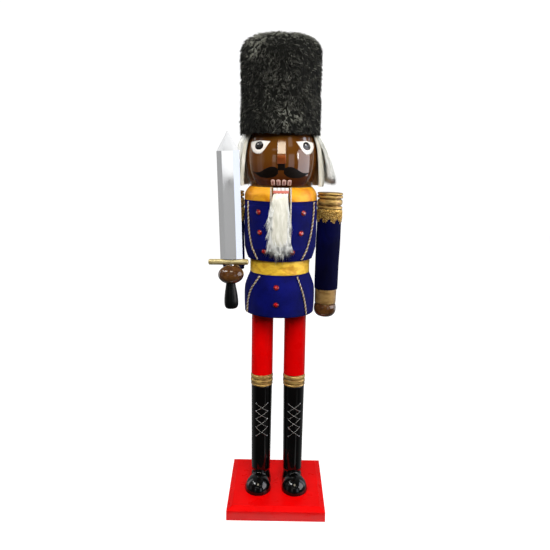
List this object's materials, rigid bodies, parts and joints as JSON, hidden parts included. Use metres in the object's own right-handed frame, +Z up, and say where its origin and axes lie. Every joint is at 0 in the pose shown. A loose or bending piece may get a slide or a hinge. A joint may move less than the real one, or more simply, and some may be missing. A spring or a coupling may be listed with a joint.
{
  "type": "nutcracker figure",
  "caption": "Tall standing wooden nutcracker guard with a fur hat, hair and beard, an opening jaw lever, turning arms and a sword, on a square base board.",
  "frame": {"origin": "centre of the base board's underside", "axes": "+Z up, -Y towards the front that the face looks to, +X towards the figure's left"},
  "size_m": [0.325, 0.2759, 1.222],
  "materials": {
    "red_gloss": "red gloss lacquer on wood",
    "black_gloss": "black gloss lacquer on wood",
    "gold_paint": "antique gold metallic paint on turned wood",
    "bare_wood": "unpainted, hidden",
    "coat_cloth": "royal blue felt, glued on",
    "velvet": "dark blue velvet",
    "ribbon": "gold lame ribbon",
    "braid": "twisted silver and gold cord",
    "bullion": "gold bullion and sequin fringe",
    "gem": "faceted red stone",
    "skin_paint": "brown gloss lacquer on wood",
    "white_fur": "off-white fur fabric",
    "black_fur": "black fur fabric",
    "steel": "plain steel",
    "blade_paint": "silver metallic gloss paint on wood",
    "guard_gold": "pale gold metallic paint on turned wood"
  },
  "bodies": {
    "figure": {"base_board": "red_gloss", "left_leg": "red_gloss", "right_leg": "red_gloss", "left_foot": "black_gloss", "right_foot": "black_gloss", "left_boot": "black_gloss", "right_boot": "black_gloss", "left_boot_band": "gold_paint", "right_boot_band": "gold_paint", "hip_block": "bare_wood", "chest_block": "bare_wood", "waist_dowel": "bare_wood", "neck_dowel_left": "bare_wood", "neck_dowel_right": "bare_wood", "left_shoulder_dowel": "bare_wood", "right_shoulder_dowel": "bare_wood", "hat_block": "bare_wood", "coat_skirt": "coat_cloth", "coat_chest": "coat_cloth", "belt": "ribbon", "collar": "ribbon", "skirt_piping_left": "braid", "skirt_piping_right": "braid", "chest_piping_left": "braid", "chest_piping_right": "braid", "slot_piping": "braid", "skirt_button_1": "gem", "skirt_button_2": "gem", "chest_button_1": "gem", "chest_button_2": "gem", "chest_button_3": "gem", "chest_button_4": "gem", "chest_button_5": "gem", "chest_button_6": "gem", "head_block": "skin_paint", "nose": "skin_paint", "hair": "white_fur", "hat_fur": "black_fur", "base_screw_left": "steel", "base_screw_right": "steel", "jaw_pin": "steel"},
    "jaw": {"jaw_lever": "skin_paint"},
    "beard_fall": {"beard": "white_fur"},
    "arm_left": {"left_arm": "bare_wood", "left_sleeve": "velvet", "left_epaulette": "gold_paint", "left_epaulette_fringe": "bullion", "left_cuff": "gold_paint", "left_hand": "skin_paint"},
    "arm_right": {"right_upper_arm": "bare_wood", "right_upper_sleeve": "velvet", "right_epaulette": "gold_paint", "right_epaulette_fringe": "bullion", "right_forearm": "bare_wood", "right_forearm_sleeve": "velvet", "right_cuff": "gold_paint", "right_hand": "skin_paint"},
    "sword": {"sword_blade": "blade_paint", "sword_guard": "guard_gold", "sword_grip": "black_gloss"}
  },
  "joints": [
    {"name": "jaw_hinge", "type": "hinge", "parent": "figure", "child": "jaw", "pos_m": [0, 0.01, 0.818], "axis": [1, 0, 0], "range_deg": [0, 21]},
    {"name": "beard_hang", "type": "hinge", "parent": "jaw", "child": "beard_fall", "pos_m": [0, -0.0883, 0.843], "axis": [1, 0, 0], "range_deg": [-21, 0]},
    {"name": "left_shoulder", "type": "hinge", "parent": "figure", "child": "arm_left", "pos_m": [0.127, 0, 0.808], "axis": [-1, 0, 0], "range_deg": [-30, 60]},
    {"name": "right_shoulder", "type": "hinge", "parent": "figure", "child": "arm_right", "pos_m": [-0.127, 0, 0.808], "axis": [-1, 0, 0], "range_deg": [-25, 15]},
    {"name": "sword_swivel", "type": "hinge", "parent": "arm_right", "child": "sword", "pos_m": [-0.11525, -0.11988, 0.64383], "axis": [-0.0384, 0, 0.9993], "continuous": true}
  ],
  "couplings": [
    {"joint": "beard_hang", "follows": "jaw_hinge", "ratio": -1}
  ]
}
